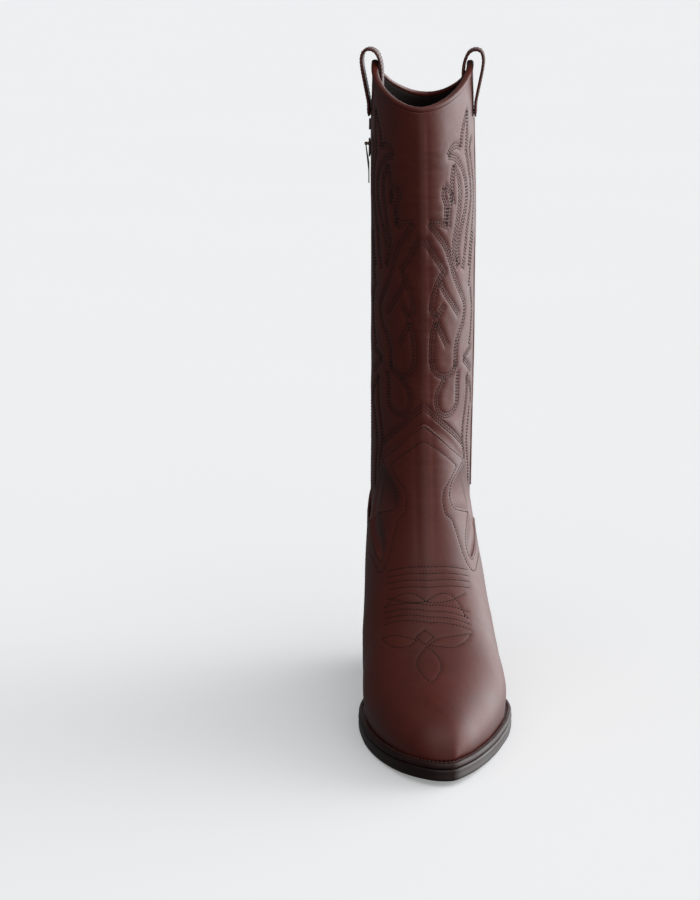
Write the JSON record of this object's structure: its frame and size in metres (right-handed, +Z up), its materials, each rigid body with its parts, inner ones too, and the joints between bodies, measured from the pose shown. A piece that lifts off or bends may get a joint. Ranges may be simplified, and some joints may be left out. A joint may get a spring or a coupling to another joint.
{
  "type": "cowboy boot",
  "caption": "Tall western boot with pointed toe, block heel, scalloped collar, pull straps, decorative stitching and an inner side zip.",
  "frame": {"origin": "centre of the footprint, on the ground", "axes": "+Z up the shaft, -Y to the toe, +X to the outer (lateral) side of the left foot"},
  "size_m": [0.1024, 0.2776, 0.442],
  "materials": {
    "upper_leather": "semi-gloss smooth brown leather with fine grain",
    "trim_leather": "satin brown leather strip",
    "lining_leather": "matt grey-brown lining leather",
    "stiffener_board": "matt fibre board",
    "sole_leather": "satin dark brown stained edge",
    "welt_leather": "satin dark brown",
    "heel_rubber": "matt black-brown rubber",
    "cork": "matt granulated cork",
    "steel": "plain steel",
    "zip_tape": "matt dark woven tape",
    "zip_metal": "dark burnished"
  },
  "bodies": {
    "boot": {"vamp": "upper_leather", "heel_counter": "upper_leather", "shaft_front": "upper_leather", "shaft_back": "upper_leather", "collar_binding_front": "trim_leather", "collar_binding_back": "trim_leather", "lateral_seam_piping": "trim_leather", "medial_seam_cover": "trim_leather", "strap_anchor_lateral": "trim_leather", "strap_anchor_medial": "trim_leather", "strap_tab_inside_lateral": "trim_leather", "strap_tab_inside_medial": "trim_leather", "vamp_lining": "lining_leather", "shaft_lining_front": "lining_leather", "shaft_lining_back": "lining_leather", "sock_liner": "lining_leather", "toe_puff": "stiffener_board", "counter_stiffener": "stiffener_board", "insole_board": "stiffener_board", "outsole": "sole_leather", "heel_lift_1": "sole_leather", "heel_lift_2": "sole_leather", "heel_lift_3": "sole_leather", "heel_lift_4": "sole_leather", "heel_lift_5": "sole_leather", "heel_wedge": "sole_leather", "welt": "welt_leather", "heel_rand": "welt_leather", "heel_top_piece": "heel_rubber", "cork_filler": "cork", "steel_shank": "steel", "heel_nail_1": "steel", "heel_nail_2": "steel", "heel_nail_3": "steel", "heel_nail_4": "steel", "zip_tape_front": "zip_tape", "zip_tape_back": "zip_tape", "zip_teeth_front": "zip_metal", "zip_teeth_back": "zip_metal", "zip_bottom_stop": "zip_metal", "zip_top_stop_front": "zip_metal", "zip_top_stop_back": "zip_metal"},
    "zip_slider": {"zip_slider": "zip_metal"},
    "zip_puller": {"zip_puller": "zip_metal"},
    "pull_strap_lateral": {"pull_strap_lateral": "trim_leather"},
    "pull_strap_medial": {"pull_strap_medial": "trim_leather"}
  },
  "joints": [
    {"name": "zip_slide", "type": "slide", "parent": "boot", "child": "zip_slider", "axis": [0.0031, 0.0262, -0.9997], "range_m": [0, 0.21]},
    {"name": "puller_swing", "type": "hinge", "parent": "zip_slider", "child": "zip_puller", "pos_m": [-0.0438, 0.06435, 0.37849], "axis": [0.033, 0.9991, 0.0263], "range_deg": [0, 150]},
    {"name": "strap_flex_lateral", "type": "hinge", "parent": "boot", "child": "pull_strap_lateral", "pos_m": [0.02898, 0.05816, 0.4063], "axis": [-0.0945, -0.9955, 0], "range_deg": [0, 8], "stiffness_Nm_per_rad": 0.02},
    {"name": "strap_flex_medial", "type": "hinge", "parent": "boot", "child": "pull_strap_medial", "pos_m": [-0.04172, 0.06488, 0.4063], "axis": [0.0947, 0.9955, 0], "range_deg": [0, 8], "stiffness_Nm_per_rad": 0.02}
  ]
}
